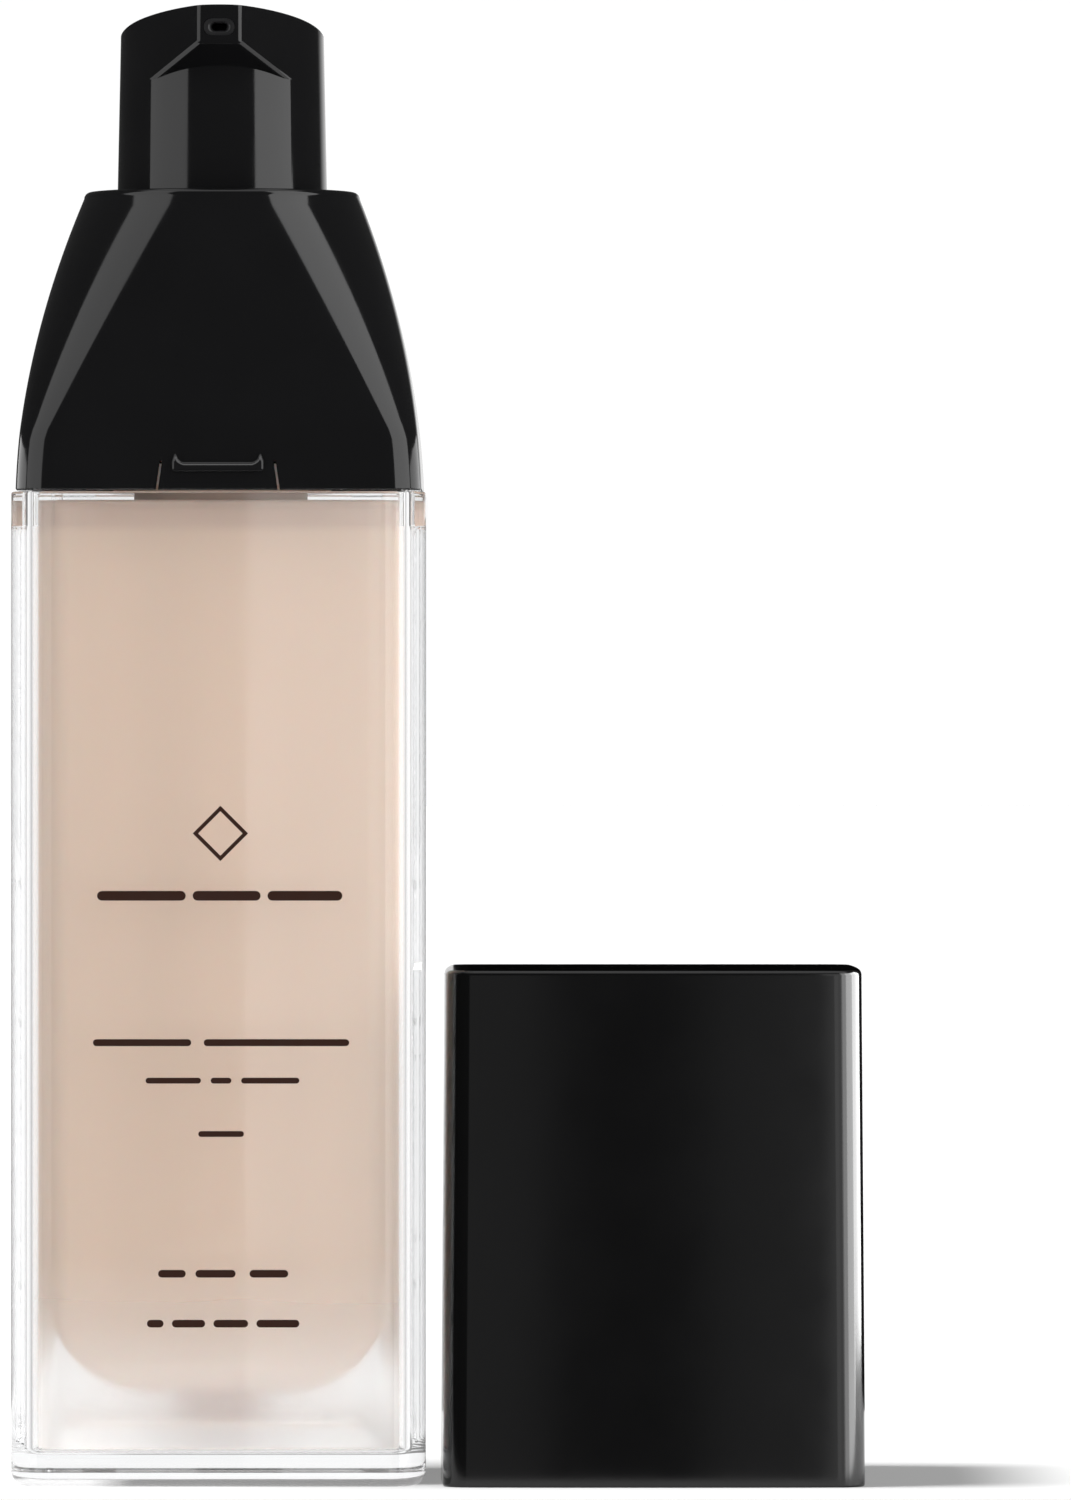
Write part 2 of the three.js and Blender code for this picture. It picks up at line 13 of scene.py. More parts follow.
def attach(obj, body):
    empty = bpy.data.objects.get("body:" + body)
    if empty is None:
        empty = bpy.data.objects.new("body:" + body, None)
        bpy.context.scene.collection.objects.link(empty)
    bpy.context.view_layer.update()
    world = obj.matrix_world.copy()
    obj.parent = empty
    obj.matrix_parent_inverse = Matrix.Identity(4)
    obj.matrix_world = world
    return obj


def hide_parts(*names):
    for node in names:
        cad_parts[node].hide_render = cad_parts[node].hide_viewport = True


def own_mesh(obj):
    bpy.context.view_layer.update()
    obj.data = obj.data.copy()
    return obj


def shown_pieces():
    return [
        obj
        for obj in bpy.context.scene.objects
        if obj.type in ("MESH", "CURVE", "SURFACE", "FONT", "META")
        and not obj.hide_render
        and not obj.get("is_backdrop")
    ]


bl_info = {
    "name": "Foundation Bottle",
    "version": (1, 0, 0),
    "blender": (4, 5, 0),
    "location": "3D View > Sidebar > Bottle",
    "description": "Builds a square pump bottle, its collar, its head and its overcap",
    "category": "Add Mesh",
}

MM = 0.001
TAU = 2 * math.pi
QUARTER = math.pi / 2
UPRIGHT = Matrix.Rotation(QUARTER, 4, "X")  # stands a flat outline up, with its depth towards -Y
at = Matrix.Translation

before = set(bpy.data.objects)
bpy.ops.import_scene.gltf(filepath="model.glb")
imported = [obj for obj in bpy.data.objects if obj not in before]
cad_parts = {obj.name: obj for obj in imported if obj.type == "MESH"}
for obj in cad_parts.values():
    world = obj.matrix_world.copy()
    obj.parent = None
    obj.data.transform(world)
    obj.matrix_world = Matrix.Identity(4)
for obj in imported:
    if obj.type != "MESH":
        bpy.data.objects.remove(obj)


# ---- settings


def length(name, description, millimetres):
    """A length setting, given in millimetres and held in metres."""
    return FloatProperty(
        name=name, description=description, default=millimetres * MM, unit="LENGTH", precision=5
    )


def number(name, description, default):
    return FloatProperty(name=name, description=description, default=default)


def colour(name, description, *tone):
    return FloatVectorProperty(
        name=name, description=description, default=tone, subtype="COLOR", min=0, max=1
    )


class BottleSizes(bpy.types.PropertyGroup):
    """Sizes of the two bottles and of the liquid"""

    side: length("Side", "Width and depth of the clear shell", 30)
    top: length("Top", "Height of the shell's rim", 71.9)
    wall: length("Wall", "Thickness of the shell's sides", 1.5)
    floor: length("Floor", "Thickness of the shell's floor", 2.3)
    corner: length("Corner", "Radius of the shell's upright edges", 2.8)
    foot: length("Foot", "Radius round the shell's base", 1.1)
    gap: length("Gap", "Air gap between the two bottles", 0.3)
    inner_wall: length("Inner wall", "Thickness of the inner bottle's sides", 0.75)
    inner_corner: length("Inner corner", "Radius of the inner bottle's upright edges", 1.8)
    cavity_floor: length("Cavity floor", "Height of the cavity's floor", 6.4)
    cavity_top: length("Cavity top", "Height of the cavity's ceiling", 71.3)
    cavity_round: length("Cavity round", "Radius round the cavity's floor", 8)
    sump_radius: length("Sump radius", "Radius of the well under the dip tube", 3.15)
    sump_floor: length("Sump floor", "Height of the well's floor", 3.4)
    neck_radius: length("Neck radius", "Outer radius of the neck", 8)
    neck_bore: length("Neck bore", "Bore of the neck", 6.3)
    neck_top: length("Neck top", "Height of the neck's rim", 81.7)
    fill_top: length("Fill top", "Height of the liquid in the neck", 77)


class PumpSizes(bpy.types.PropertyGroup):
    """Sizes of the collar, the head and the spring"""

    collar_base: length("Collar base", "Height of the collar's lower edge", 72)
    collar_height: length("Collar height", "Height of the collar", 22)
    collar_half: length("Collar half width", "Half the collar's width at its base", 14.7)
    collar_wall: length("Collar wall", "Thickness of the collar", 1.2)
    collar_skirt: length("Collar skirt", "Height of the skirt below the taper", 4.05)
    collar_mouth: length("Collar mouth", "Radius of the hole round the head", 7.95)
    head_foot: length("Head foot", "Height of the head's lower edge", 88.9)
    head_spring: length("Head shoulder", "Height where the arched top starts", 105.2)
    head_arch: length("Head arch", "Rise of the arched top", 2.1)
    head_low: length("Head radius low", "Radius of the head at its foot", 7.78)
    head_high: length("Head radius high", "Radius of the head at its shoulder", 7.44)
    spout_half: length("Spout half width", "Half the width of the spout's face", 1.48)
    spout_reach: length("Spout reach", "Distance from the axis to the spout's face", 10.05)
    spout_low: length("Spout low", "Height of the spout's lower edge", 104.5)
    orifice_z: length("Orifice height", "Height of the orifice's centre", 105.67)
    spring_low: length("Spring low", "Height of the spring's foot", 62)
    spring_high: length("Spring high", "Height of the spring's top", 71.9)


class CapSizes(bpy.types.PropertyGroup):
    """Sizes of the overcap"""

    away: length("Distance", "Distance of the cap's axis from the bottle's", 31.5)
    half: length("Half width", "Half the cap's width at its rim", 15.25)
    draft: length("Draft", "How much narrower each side is at the top", 0.27)
    tall: length("Height", "Height of the cap", 37.3)
    wall: length("Wall", "Thickness of the cap's sides", 0.5)
    roof: length("Roof", "Thickness of the cap's roof", 0.8)
    corner: length("Corner", "Radius of the cap's upright edges", 2.0)
    bulge: length("Bow", "How far each side bows outwards", 0.25)
    edge: length("Top edge", "Radius round the cap's top", 0.4)


class BottleFinish(bpy.types.PropertyGroup):
    """Colours of the pieces"""

    fill: colour("Foundation", "Colour of the liquid", 0.84, 0.675, 0.56)
    # Painted reflection: the grey of the liquid in the well, for how it looks through the thick
    # base.
    painted_sump_grey: colour("Sump", "Colour of the liquid seen through the thick base", 0.84, 0.76, 0.74)
    # Painted light: the paler tone near the rounded floor stands for light coming through the thick
    # base.
    pale: colour("Pale", "Colour of the liquid near the rounded floor", 0.945, 0.815, 0.735)
    # Painted shade: the darker tone of the liquid under the shoulder.
    shoulder: colour("Shoulder", "Colour of the liquid under the shoulder", 0.75, 0.59, 0.5)
    black: colour("Black", "Colour of the collar and the head", 0.0042, 0.0042, 0.0045)
    cap: colour("Cap", "Colour of the overcap", 0.0016, 0.0016, 0.0017)
    print_ink: colour("Print", "Colour of the printed marks", 0.026, 0.0085, 0.0045)
    natural: colour("Natural plastic", "Colour of the pump's plain mouldings", 0.8, 0.8, 0.77)
    seal: colour("Seal", "Colour of the soft seals", 0.5, 0.49, 0.47)
    steel: colour("Steel", "Colour of the spring and the ball", 0.62, 0.63, 0.65)


class StageSettings(bpy.types.PropertyGroup):
    """Floor, lights and camera"""

    camera_side: length("Camera side", "Camera's distance to the right of the bottle", 22.94)
    camera_back: length("Camera distance", "Camera's distance in front of the bottle", 1000)
    camera_height: length("Camera height", "Camera's height above the floor", 53.22)
    lens: number("Lens", "Focal length in millimetres", 327.6)
    floor_tone: number("Floor", "Reflectance of the floor", 0.08)
    floor_glow: number("Floor glow", "The floor's tone in full shade", 0.26)
    floor_key: number("Floor light", "Light that falls on the floor", 31.0)
    left_box: number("Left softbox", "Radiance of the left softbox", 1.0)
    right_box: number("Right softbox", "Radiance of the right softbox", 1.7)
    cap_rim: number("Cap light", "Radiance that the cap's own strips take shares of", 9.0)
    collar_edge: number("Collar edges", "Radiance beside the collar", 1.5)
    ridge_light: number("Ridge light", "Radiance above the ridges", 2.0)
    liquid_under: number("Under the liquid", "Radiance below the liquid", 1.2)
    base_glow: number("Base glow", "Radiance behind the thick base", 2.0)
    shell_sheen: number("Sheen", "Radiance mirrored in the shell's front", 0.45)
    liquid_light: number("Liquid light", "Radiance of the liquid's panel", 1.05)


def in_millimetres(group):
    """Every length of a group, in millimetres."""
    names = type(group).__annotations__
    return SimpleNamespace(**{name: getattr(group, name) / MM for name in names})


# ---- shapes


def square_ring(half, corner, bulge, arc_steps, side_steps):
    """Points round a square with rounded corners; bulge bows its sides outwards."""
    straight = half - corner
    points = []
    for side in range(4):
        turn = Matrix.Rotation(side * QUARTER, 2)
        for i in range(1, side_steps):
            share = 2 * i / side_steps - 1
            out = half + bulge * (1 - share * share)
            points.append(turn @ Vector((out, straight * share)))
        for i in range(arc_steps + 1):
            angle = i / arc_steps * QUARTER
            x = straight + corner * math.cos(angle)
            y = straight + corner * math.sin(angle)
            points.append(turn @ Vector((x, y)))
    return points


def square(z, half, corner):
    return (z, half, max(corner, 0.02))


def circle(z, radius):
    """A level whose corners meet, which makes it round."""
    return (z, radius, radius)


def rounding(z, half, corner, radius, steps, upper=False, inside=False):
    """Levels round the edge between a flat face at z and an upright wall, from face to wall."""
    levels = []
    for i in range(steps + 1):
        angle = i / steps * QUARTER
        inset = radius * (1 - math.sin(angle)) * (-1 if inside else 1)
        rise = radius * (1 - math.cos(angle)) * (-1 if upper else 1)
        levels.append(square(z + rise, half - inset, corner - inset))
    return levels


def skinned(rings, looped=False):
    """A closed mesh through rings of points in turn: looped, or with a face across each end."""
    mesh = bmesh.new()
    rows = [[mesh.verts.new(point) for point in ring] for ring in rings]
    after = rows[1:] + rows[:1] if looped else rows[1:]
    for low, high in zip(rows, after):
        for i in range(len(low)):
            j = (i + 1) % len(low)
            mesh.faces.new((low[i], low[j], high[j], high[i]))
    if not looped:
        mesh.faces.new(rows[0][::-1])
        mesh.faces.new(rows[-1])
    return tidied(mesh)


def chain(levels, arc_steps=12, side_steps=1, bulge=0.0, looped=False):
    """A closed mesh through the levels in turn."""
    rings = []
    for z, half, corner in levels:
        points = square_ring(half, corner, bulge, arc_steps, side_steps)
        rings.append([(p.x, p.y, z) for p in points])
    return skinned(rings, looped)


def tidied(mesh):
    bmesh.ops.remove_doubles(mesh, verts=mesh.verts, dist=1e-4)
    bmesh.ops.dissolve_degenerate(mesh, dist=1e-5, edges=mesh.edges)
    bmesh.ops.recalc_face_normals(mesh, faces=mesh.faces)
    return mesh


def prism(outline, depth):
    """A closed block: an outline in the XY plane, drawn out along +Z."""
    return skinned([[(x, y, z) for x, y in outline] for z in (0, depth)])


def block(low, high):
    """A plain box between two corners."""
    x0, y0, z0 = low
    x1, y1, z1 = high
    return skinned([[(x0, y0, z), (x1, y0, z), (x1, y1, z), (x0, y1, z)] for z in (z0, z1)])


def moved(mesh, matrix):
    bmesh.ops.transform(mesh, matrix=matrix, verts=mesh.verts)
    if matrix.determinant() < 0:
        bmesh.ops.reverse_faces(mesh, faces=mesh.faces)
    return mesh


def turned(back):
    """Half a turn for a piece that goes at the back, and none for one at the front."""
    return Matrix.Rotation(math.pi if back else 0, 4, "Z")


def placed(name, data):
    """A new object in the scene."""
    made = bpy.data.objects.new(name, data)
    bpy.context.scene.collection.objects.link(made)
    return made


def joined(meshes):
    """Several meshes as one, each kept as its own shell."""
    whole = bmesh.new()
    for mesh in meshes:
        data = as_data(mesh, "part")
        whole.from_mesh(data)
        bpy.data.meshes.remove(data)
    return whole


def as_data(mesh, name):
    data = bpy.data.meshes.new(name)
    mesh.to_mesh(data)
    mesh.free()
    return data


def carved(body, *steps):
    """The body after a row of (operation, mesh) steps: UNION, DIFFERENCE or INTERSECT."""
    target = placed("target", as_data(body, "target"))
    tools = []
    for operation, mesh in steps:
        tools.append(placed("tool", as_data(mesh, "tool")))
        cut = target.modifiers.new("cut", "BOOLEAN")
        cut.operation = operation
        cut.solver = "EXACT"
        cut.object = tools[-1]
    bpy.context.view_layer.update()
    result = target.evaluated_get(bpy.context.evaluated_depsgraph_get())
    mesh = bmesh.new()
    mesh.from_mesh(result.to_mesh())
    for spent in [target, *tools]:
        data = spent.data
        bpy.data.objects.remove(spent)
        bpy.data.meshes.remove(data)
    return tidied(mesh)


def eased(mesh, radius, sharp=25):
    """Rounds every edge sharper than that many degrees."""
    flat = math.radians(0.2)
    bmesh.ops.dissolve_limit(mesh, angle_limit=flat, verts=mesh.verts, edges=mesh.edges)
    least = math.radians(sharp)
    edges = [e for e in mesh.edges if e.is_manifold and e.calc_face_angle(0) > least]
    bmesh.ops.bevel(
        mesh, geom=edges, offset=radius, segments=3, profile=0.5, affect="EDGES", clamp_overlap=True
    )
    return tidied(mesh)


def piece(name, mesh, body, finish, stands_for=(), bevel=0.0, sharp=35):
    """Makes the mesh, drawn in millimetres, a piece that rides on a body."""
    bmesh.ops.scale(mesh, vec=(MM, MM, MM), verts=mesh.verts)
    made = placed(name, as_data(mesh, name))
    made.data.shade_smooth()
    made.data.materials.append(finish)
    if bevel:
        rounded = made.modifiers.new("edges", "BEVEL")
        rounded.width = bevel * MM
        rounded.segments = 3
        rounded.limit_method = "ANGLE"
        rounded.angle_limit = math.radians(sharp)
        rounded.miter_outer = "MITER_ARC"
    else:
        made.data.set_sharp_from_angle(angle=math.radians(sharp))
    weighted = made.modifiers.new("normals", "WEIGHTED_NORMAL")
    weighted.keep_sharp = True
    weighted.weight = 80
    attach(made, body)
    if stands_for:
        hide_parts(*stands_for)
    return made


# ---- finishes


def set_range(node, *values):
    """Sets the four ends of a Map Range node: where it starts and stops, then what it gives."""
    for socket, value in zip(("From Min", "From Max", "To Min", "To Max"), values):
        node.inputs[socket].default_value = value


class Nodes:
    """A material's node tree, with short ways to add and link nodes."""

    def __init__(self, name):
        self.material = bpy.data.materials.new(name)
        self.material.use_nodes = True
        self.tree = self.material.node_tree
        self.shader = self.tree.nodes["Principled BSDF"]

    def add(self, kind, **settings):
        node = self.tree.nodes.new(kind)
        for key, value in settings.items():
            setattr(node, key, value)
        return node

    def link(self, out, into):
        self.tree.links.new(out, into)

    def set(self, **sockets):
        """Sets sockets of the shader: underscores stand for the spaces in a socket's name."""
        for key, value in sockets.items():
            self.shader.inputs[key.replace("_", " ")].default_value = value

    def place(self, stretch=(1, 1, 1)):
        """Where on the object a point is, with each axis stretched."""
        coordinates = self.add("ShaderNodeTexCoord")
        mapping = self.add("ShaderNodeMapping")
        mapping.inputs["Scale"].default_value = stretch
        self.link(coordinates.outputs["Object"], mapping.inputs["Vector"])
        return mapping.outputs["Vector"]

    def height(self):
        """How high on the object a point is, in metres."""
        split = self.add("ShaderNodeSeparateXYZ")
        self.link(self.place(), split.inputs["Vector"])
        return split.outputs["Z"]

    def noise(self, size, detail=2.0, stretch=(1, 1, 1)):
        """Noise whose features are about `size` millimetres."""
        texture = self.add("ShaderNodeTexNoise")
        texture.inputs["Scale"].default_value = 1 / (size * MM)
        texture.inputs["Detail"].default_value = detail
        self.link(self.place(stretch), texture.inputs["Vector"])
        return texture.outputs["Fac"]

    def ranged(self, value, low, high, from_low=0.3, from_high=0.7):
        """Goes from low to high as the value goes from from_low to from_high."""
        scaled = self.add("ShaderNodeMapRange")
        set_range(scaled, from_low, from_high, low, high)
        self.link(value, scaled.inputs["Value"])
        return scaled.outputs["Result"]

    def blended(self, share, first, second):
        """A colour that goes from first to second as share goes from 0 to 1."""
        mix = self.add("ShaderNodeMix", data_type="RGBA")
        self.link(share, mix.inputs["Factor"])
        for socket, value in (("A", first), ("B", second)):
            target = next(s for s in mix.inputs if s.name == socket and s.type == "RGBA")
            if isinstance(value, bpy.types.NodeSocket):
                self.link(value, target)
            else:
                target.default_value = (*value, 1)
        return next(s for s in mix.outputs if s.type == "RGBA")

    def rough(self, size, low, high):
        """Roughness that wanders between two values."""
        self.link(self.ranged(self.noise(size), low, high), self.shader.inputs["Roughness"])

    def bumpy(self, height, depth, strength):
        """Dents as deep as `depth` millimetres where the height is low."""
        bump = self.add("ShaderNodeBump")
        bump.inputs["Strength"].default_value = strength
        bump.inputs["Distance"].default_value = depth * MM
        self.link(height, bump.inputs["Height"])
        self.link(bump.outputs["Normal"], self.shader.inputs["Normal"])


def shaded(tone, share):
    """A colour times a share, lighter above 1 and darker below it."""
    return tuple(channel * share for channel in tone)


def clear_plastic(name, tint, low, high, misty=0.0):
    """Clear and polished. Where misty is set, its surface blurs towards the thick base."""
    mist_bottom, mist_top = 5 * MM, 19 * MM
    nodes = Nodes(name)
    nodes.set(Base_Color=(*tint, 1), Transmission_Weight=1.0, IOR=1.49)
    polish = nodes.ranged(nodes.noise(9), low, high)
    if misty:
        mist = nodes.ranged(nodes.height(), misty, 0, mist_bottom, mist_top)
        total = nodes.add("ShaderNodeMath", operation="ADD")
        nodes.link(polish, total.inputs[0])
        nodes.link(mist, total.inputs[1])
        polish = total.outputs[0]
    nodes.link(polish, nodes.shader.inputs["Roughness"])
    nodes.bumpy(nodes.noise(14, 1.0), 0.004, 0.25)
    return nodes.material


def opaque(name, tone, rough, dents, cloud=None, **sockets):
    """One colour, perhaps clouded (size, detail, darkest, lightest), with a roughness that wanders
    (size, low, high) and fine dents (size, detail, depth, strength)."""
    nodes = Nodes(name)
    if cloud:
        size, detail, darkest, lightest = cloud
        share = nodes.ranged(nodes.noise(size, detail), 0, 1)
        clouded = nodes.blended(share, shaded(tone, darkest), shaded(tone, lightest))
        nodes.link(clouded, nodes.shader.inputs["Base Color"])
    else:
        nodes.set(Base_Color=(*tone, 1))
    nodes.set(**sockets)
    nodes.rough(*rough)
    size, detail, depth, strength = dents
    nodes.bumpy(nodes.noise(size, detail), depth, strength)
    return nodes.material


def liquid(name, sizes, finish):
    """Creamy and opaque, with slow streaks. Painted shade darkens it under the shoulder, painted
    light makes it paler near the rounded floor, and a painted grey in the well stands for the view
    through the thick base."""
    top, low = sizes.cavity_top * MM, sizes.cavity_floor * MM
    nodes = Nodes(name)
    tone = tuple(finish.fill)
    streaks = nodes.ranged(nodes.noise(7, 2.0, (1, 1, 0.05)), 0, 1)
    body = nodes.blended(streaks, shaded(tone, 0.965), shaded(tone, 1.02))
    height = nodes.height()
    # Painted shade: darker under the shoulder.
    shoulder = nodes.ranged(height, 0, 1, top - 2.4 * MM, top - 1.7 * MM)
    body = nodes.blended(shoulder, body, tuple(finish.shoulder))
    # Painted light: paler towards the rounded floor.
    painted_paling = nodes.ranged(height, 0.9, 0, low + 1 * MM, low + 10 * MM)
    body = nodes.blended(painted_paling, body, tuple(finish.pale))
    # Painted reflection: greyer in the well, as seen through the thick base.
    painted_well_grey = nodes.ranged(height, 1, 0, low - 0.4 * MM, low + 0.6 * MM)
    body = nodes.blended(painted_well_grey, body, tuple(finish.painted_sump_grey))
    nodes.link(body, nodes.shader.inputs["Base Color"])
    nodes.set(IOR=1.45, Subsurface_Weight=0.15, Subsurface_Scale=0.001)
    nodes.rough(4, 0.35, 0.5)
    nodes.bumpy(nodes.noise(3, 2.0), 0.01, 0.3)
    return nodes.material


def finishes():
    """Every finish by name, made once."""
    finish = bpy.context.scene.bottle_finish
    sizes = in_millimetres(bpy.context.scene.bottle_sizes)
    cool, warm = (0.985, 0.99, 0.995), (0.985, 0.985, 0.98)
    orange_peel = (2.2, 2, 0.0025, 0.35)
    gloss = {"cloud": (7, 3, 0.92, 1.08), "IOR": 1.5}
    satin = shaded(finish.black, 2.0)
    deep = {"IOR": 1.5, "Subsurface_Weight": 0.3, "Subsurface_Scale": 0.0008}
    milky = {"cloud": (3, 2, 0.96, 1), **deep}
    matt_ink = {"Specular_IOR_Level": 0.2}
    makers = {
        "Clear shell": lambda n: clear_plastic(n, cool, 0.005, 0.02),
        "Clear inner": lambda n: clear_plastic(n, warm, 0.01, 0.035, misty=0.62),
        "Foundation": lambda n: liquid(n, sizes, finish),
    }
    opaque_looks = {
        "Gloss black": (finish.black, (5, 0.07, 0.11), orange_peel, gloss),
        "Cap black": (finish.cap, (5, 0.09, 0.12), orange_peel, gloss),
        "Satin black": (satin, (1.5, 0.3, 0.42), (0.25, 3, 0.006, 0.5), {"IOR": 1.5}),
        "Print": (finish.print_ink, (0.8, 0.4, 0.55), (0.12, 2, 0.003, 0.4), matt_ink),
        "Natural plastic": (finish.natural, (2, 0.35, 0.5), (0.4, 2, 0.004, 0.4), milky),
        "Soft seal": (finish.seal, (1, 0.65, 0.85), (0.15, 3, 0.01, 0.6), {}),
        "Drawn steel": (finish.steel, (0.6, 0.18, 0.32), (0.2, 3, 0.002, 0.4), {"Metallic": 1.0}),
    }
    for name, (tone, rough, dents, others) in opaque_looks.items():
        makers[name] = partial(opaque, tone=tone, rough=rough, dents=dents, **others)
    return {name: bpy.data.materials.get(name) or make(name) for name, make in makers.items()}


# ---- the bottles and the liquid


SHOULDER_ROUND = 0.8  # radius round the cavity's ceiling


def inner_half(s):
    return s.side / 2 - s.wall - s.gap


def lug_blocks(s, clearance):
    """The keys between the inner bottle's flange and the shell's rim, two on each side."""
    reach, root, wide, tall, from_centre = 1.1, 0.5, 2.4, 2.4, 10.6
    inner = inner_half(s)
    top = s.top + 1 if clearance else s.top
    blocks = []
    for side in range(4):
        turn = Matrix.Rotation(side * QUARTER, 4, "Z")
        for along in (-from_centre, from_centre):
            low = (inner - root, along - wide / 2 - clearance, s.top - tall - clearance)
            high = (inner + s.gap + reach + clearance, along + wide / 2 + clearance, top)
            blocks.append(moved(block(low, high), turn))
    return blocks


def shell_mesh(s):
    half, bore = s.side / 2, s.side / 2 - s.wall
    rim, floor_round, lug_clearance = 0.18, 0.5, 0.08
    levels = rounding(0, half, s.corner, s.foot, 10)
    levels += reversed(rounding(s.top, half, s.corner, rim, 3, upper=True))
    levels += rounding(s.top, bore, s.corner - s.wall, rim, 3, upper=True, inside=True)
    levels += reversed(rounding(s.floor, bore, s.corner - s.wall, floor_round, 5))
    return carved(chain(levels), ("DIFFERENCE", joined(lug_blocks(s, lug_clearance))))


def inner_mesh(s):
    half = inner_half(s)
    cavity = half - s.inner_wall
    corner = s.inner_corner
    foot = s.floor + s.gap
    sump_outer = s.sump_radius + 0.75
    recess, recess_deep, ease = half - 1.5, 2, 0.4
    roof = foot + recess_deep
    bead = s.neck_radius + 0.5
    levels = [circle(foot, sump_outer - 0.2), circle(foot + 0.2, sump_outer)]
    levels += [circle(roof - ease, sump_outer), circle(roof, sump_outer + ease)]
    levels += [square(roof, recess - ease, corner), square(roof - ease, recess, corner)]
    levels += [square(foot + 0.15, recess, corner), square(foot, recess + 0.15, corner)]
    levels += rounding(foot, half, corner, 0.3, 3)
    levels += reversed(rounding(s.top, half, corner, 0.15, 3, upper=True))
    neck = s.neck_radius
    levels += [circle(s.top, neck + 0.3), circle(s.top + 0.3, neck)]
    levels += [circle(s.neck_top - 2.8, neck), circle(s.neck_top - 2.3, bead)]
    levels += [circle(s.neck_top - 1.9, bead), circle(s.neck_top - 1.1, neck)]
    levels += [circle(s.neck_top, neck), circle(s.neck_top, s.neck_bore)]
    levels += [circle(s.cavity_top, s.neck_bore)]
    levels += rounding(s.cavity_top, cavity, corner, SHOULDER_ROUND, 5, upper=True)
    levels += reversed(rounding(s.cavity_floor, cavity, corner, s.cavity_round, 14))
    levels += [circle(s.cavity_floor, s.sump_radius), circle(s.sump_floor + ease, s.sump_radius)]
    levels += [circle(s.sump_floor, s.sump_radius - ease)]
    return carved(chain(levels), ("UNION", joined(lug_blocks(s, 0))))


def liquid_mesh(s):
    """The liquid wets the inner bottle, so it reaches a hair into its walls. A hollow in it
    leaves room for the pump's housing, its tail and the dip tube."""
    wet, ease = 0.02, 0.4
    housing, tail, tube = 4.25, 2.55, 1.65
    housing_low, tail_low, tube_low = 57, 52.85, 4.35
    cavity = inner_half(s) - s.inner_wall + wet
    corner = s.inner_corner
    floor, ceiling = s.cavity_floor - wet, s.cavity_top + wet
    levels = [
        circle(s.sump_floor - wet, s.sump_radius - ease),
        circle(s.sump_floor + ease - wet, s.sump_radius + wet),
        circle(floor, s.sump_radius + wet),
    ]
    levels += rounding(floor, cavity, corner, s.cavity_round, 14)
    levels += reversed(rounding(ceiling, cavity, corner, SHOULDER_ROUND, 5, upper=True))
    levels += [circle(ceiling, s.neck_bore + wet), circle(s.fill_top, s.neck_bore + wet)]
    levels += [circle(s.fill_top, housing), circle(housing_low, housing)]
    levels += [circle(housing_low, tail), circle(tail_low, tail)]
    levels += [circle(tail_low, tube), circle(tube_low, tube)]
    return chain(levels)


# Printed marks on the front, all plain: the low and high edge of each line, and its bars' ends.
PRINT_LINES = [
    (42.35, 43.05, [(-8.7, -2.3), (-1.8, 3.1), (3.6, 9.0)]),
    (31.85, 32.35, [(-9.0, -1.9), (-1.0, 9.5)]),
    (29.15, 29.57, [(-5.2, -1.2), (-0.5, 1.0), (1.7, 5.9)]),
    (25.3, 25.72, [(-1.4, 1.9)]),
    (15.15, 15.7, [(-4.3, -2.3), (-1.6, 1.3), (2.3, 5.1)]),
    (11.55, 12.1, [(-5.1, -3.9), (-3.3, -0.9), (-0.3, 2.2), (2.8, 5.9)]),
]


def pill(left, right, low, high):
    """A bar with round ends, in the XY plane."""
    radius = (high - low) / 2
    middle = (high + low) / 2
    outline = []
    for start, x in ((-0.5, right - radius), (0.5, left + radius)):
        for i in range(9):
            angle = (start + i / 8) * math.pi
            outline.append((x + radius * math.cos(angle), middle + radius * math.sin(angle)))
    return outline


def diamond(centre, reach, line):
    """A four-sided frame on its point, as four bars."""
    middle = Vector(centre)
    shrink = 1 - math.sqrt(2) * line / reach
    points = [Matrix.Rotation(side * QUARTER, 2) @ Vector((reach, 0)) for side in range(4)]
    bars = []
    for near, far in zip(points, points[1:] + points[:1]):
        corners = [near, far, far * shrink, near * shrink]
        bars.append([tuple(middle + corner) for corner in corners])
    return bars


def print_mesh(s):
    """Plates a hair thicker than ink, sunk a little into the shell's front."""
    thick, sunk = 0.025, 0.005
    forward = at((0, -s.side / 2 + sunk, 0))
    outlines = [pill(*ends, low, high) for low, high, bars in PRINT_LINES for ends in bars]
    outlines += diamond((0.2, 47.2), 2.0, 0.28)
    return joined([moved(prism(outline, thick), forward @ UPRIGHT) for outline in outlines])


# ---- collar


def collar_half(s, height):
    """Half the collar's width: the taper steepens with height."""
    return s.collar_half - 0.0309 * height - 0.008529 * height**2


def collar_corner(s, height):
    """Radius of the collar's upright edges, which grows above the skirt."""
    above = max(height - s.collar_skirt, 0)
    return 2.77 + 0.55 * above - 0.01144 * above**2


def collar_levels(s, inset, low, high, steps):
    levels = []
    for i in range(steps + 1):
        height = low + (high - low) * i / steps
        half = collar_half(s, height) - inset
        corner = collar_corner(s, height) - inset
        levels.append(square(s.collar_base + height, half, corner))
    return levels


def slit_cutters(s, side, back):
    """A block that cuts a thin slot through the collar's face, and one that eases its edges."""
    front = -collar_half(s, 1.3)
    ends = ((-1.0, 4.54), (2.1, 4.1))  # height above the collar's base, distance from the middle
    cutters = []
    for half_gap, behind in ((0.08, 2 * s.collar_wall), (0.17, 0.05)):
        rings = []
        for height, x in ends:
            near, far, z = front - 1, front + behind, s.collar_base + height
            left, right = side * x - half_gap, side * x + half_gap
            rings.append([(left, near, z), (right, near, z), (right, far, z), (left, far, z)])
        cutters.append(moved(skinned(rings), turned(back)))
    return cutters


